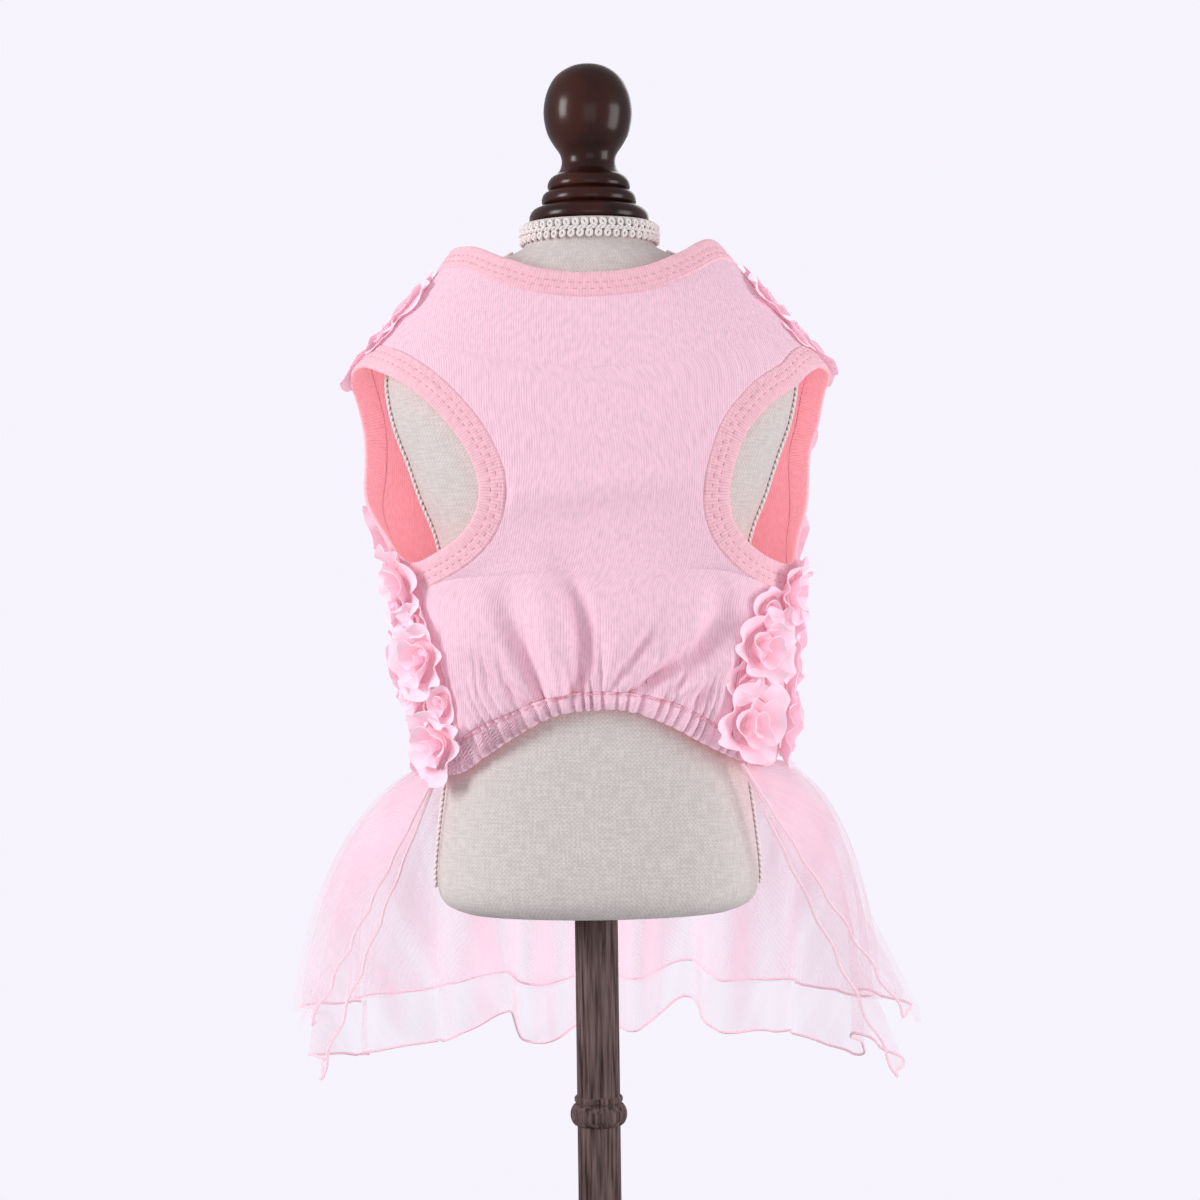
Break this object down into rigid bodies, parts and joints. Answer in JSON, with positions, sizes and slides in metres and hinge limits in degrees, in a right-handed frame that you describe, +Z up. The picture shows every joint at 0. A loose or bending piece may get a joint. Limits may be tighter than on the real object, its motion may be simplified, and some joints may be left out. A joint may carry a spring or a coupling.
{
  "type": "dog dress on a tabletop dress form",
  "caption": "Small dog's sleeveless dress with rosette back, elastic belly hem and half skirt, worn on a linen covered limbless dress form on a turned wood stand",
  "frame": {"origin": "centre of the round base's underside, on the axis of the pole", "axes": "+Z up along the pole, -Y towards the dress's plain belly panel, +Y towards its rosette back, +X to the right seen from the belly side"},
  "size_m": [0.3172, 0.2472, 0.668],
  "materials": {
    "jersey": "fine cotton jersey, matt",
    "ribbing": "folded jersey binding, coverstitched",
    "rosette_cloth": "chiffon rosettes on jersey",
    "organza": "sheer organza with rolled edges",
    "net": "fine soft net",
    "linen": "coarse natural linen, matt",
    "gimp": "looped cotton braid",
    "dark_wood": "dark stain under gloss varnish",
    "grey_wood": "grey brown stain, satin"
  },
  "bodies": {
    "root": {"form_base": "dark_wood", "form_pole": "grey_wood", "form_torso": "linen", "form_finial": "dark_wood", "form_neck_braid": "gimp", "form_side_braid_left": "gimp", "form_side_braid_right": "gimp", "belly_panel": "jersey", "back_panel": "rosette_cloth", "hem_casing": "jersey", "neck_band": "ribbing", "leg_band_left": "ribbing", "leg_band_right": "ribbing", "skirt_net": "net", "skirt_short_organza": "organza", "skirt_long_organza": "organza"}
  },
  "joints": []
}
